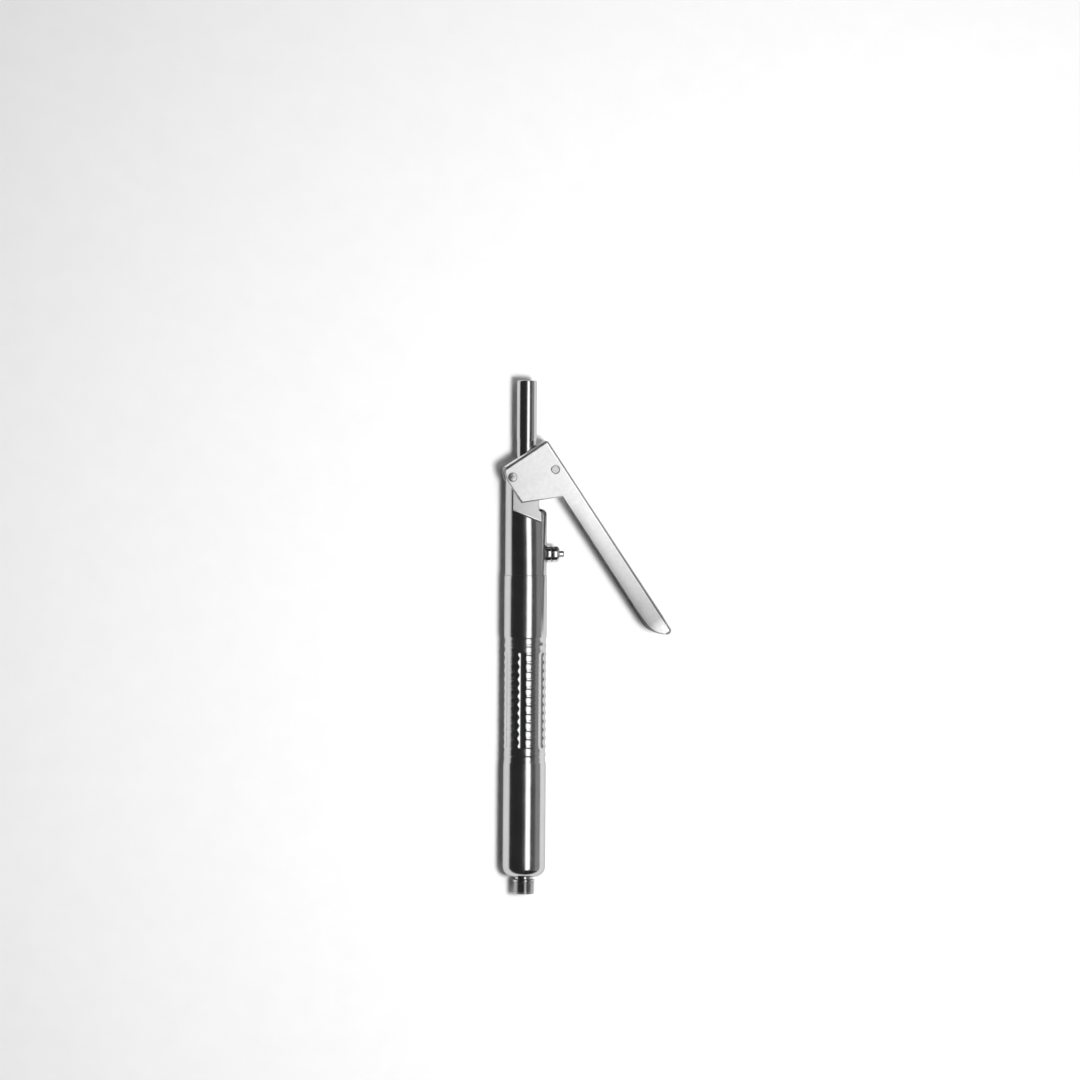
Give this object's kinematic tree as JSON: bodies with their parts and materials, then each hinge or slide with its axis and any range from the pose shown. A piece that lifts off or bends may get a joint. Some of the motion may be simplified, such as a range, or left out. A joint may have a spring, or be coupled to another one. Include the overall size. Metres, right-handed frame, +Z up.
{
  "type": "meat injector gun",
  "caption": "Slim stainless hand injector with a round ribbed grip, a pivoting channel lever, a spring-returned outlet tube and an inlet hose thread.",
  "frame": {"origin": "on the barrel axis, half way along the inlet thread", "axes": "+X from the barrel axis toward the lever; +Y along the barrel from the inlet thread to the outlet tube; +Z up, parallel to the lever pivot, with the gun lying on its side"},
  "size_m": [0.1011, 0.308, 0.0256],
  "materials": {
    "polished_steel": "polished stainless steel",
    "satin_steel": "satin blasted stainless steel sheet",
    "fastener_steel": "plain stainless steel",
    "spring_steel": "drawn stainless spring wire",
    "valve_steel": "ground stainless steel",
    "seal_rubber": "matt black rubber",
    "guide_plastic": "white low-friction plastic"
  },
  "bodies": {
    "barrel": {"barrel": "polished_steel", "inlet_nipple": "polished_steel", "nipple_o_ring": "seal_rubber", "inlet_strainer": "valve_steel", "inlet_valve_cage": "guide_plastic", "inlet_valve_spring": "spring_steel", "spring_seat_washer": "satin_steel", "return_spring": "spring_steel", "head_housing": "polished_steel", "barrel_joint_o_ring": "seal_rubber", "rod_seal": "seal_rubber", "gland_nut": "polished_steel", "lower_guide_bush": "guide_plastic", "upper_guide_bush": "guide_plastic", "rest_buffer": "seal_rubber", "stop_boss": "polished_steel", "stop_locknut": "polished_steel", "pivot_screw": "fastener_steel", "pivot_nut": "fastener_steel", "pivot_washer_upper": "satin_steel", "pivot_washer_lower": "satin_steel"},
    "plunger": {"outlet_tube": "polished_steel", "piston": "polished_steel", "piston_seal": "seal_rubber", "piston_guide_ring": "guide_plastic", "outlet_valve_spring": "spring_steel", "outlet_valve_retainer": "guide_plastic", "drive_fork": "satin_steel", "fork_screw": "fastener_steel"},
    "lever": {"lever": "satin_steel", "drive_pin": "fastener_steel"},
    "stop_screw": {"stop_screw": "polished_steel"},
    "inlet_ball": {"inlet_valve_ball": "valve_steel"},
    "outlet_ball": {"outlet_valve_ball": "valve_steel"}
  },
  "joints": [
    {"name": "lever_pivot", "type": "hinge", "parent": "barrel", "child": "lever", "pos_m": [-0.009, 0.245, 0], "axis": [0, 0, -1], "range_deg": [0, 27]},
    {"name": "tube_slide", "type": "slide", "parent": "barrel", "child": "plunger", "axis": [0, -1, 0], "range_m": [0, 0.0123], "stiffness_N_per_m": 800, "springref_m": -0.012, "deforming": ["return_spring"]},
    {"name": "stop_screw_slide", "type": "slide", "parent": "barrel", "child": "stop_screw", "axis": [-1, 0, 0], "range_m": [0, 0.003]},
    {"name": "inlet_ball_lift", "type": "slide", "parent": "barrel", "child": "inlet_ball", "axis": [0, 1, 0], "range_m": [0, 0.0015], "stiffness_N_per_m": 60, "springref_m": -0.002, "deforming": ["inlet_valve_spring"]},
    {"name": "outlet_ball_lift", "type": "slide", "parent": "plunger", "child": "outlet_ball", "axis": [0, 1, 0], "range_m": [0, 0.0015], "stiffness_N_per_m": 60, "springref_m": -0.002, "deforming": ["outlet_valve_spring"]}
  ],
  "couplings": [
    {"joint": "tube_slide", "follows": "lever_pivot", "m_per_rad": 0.02578}
  ]
}
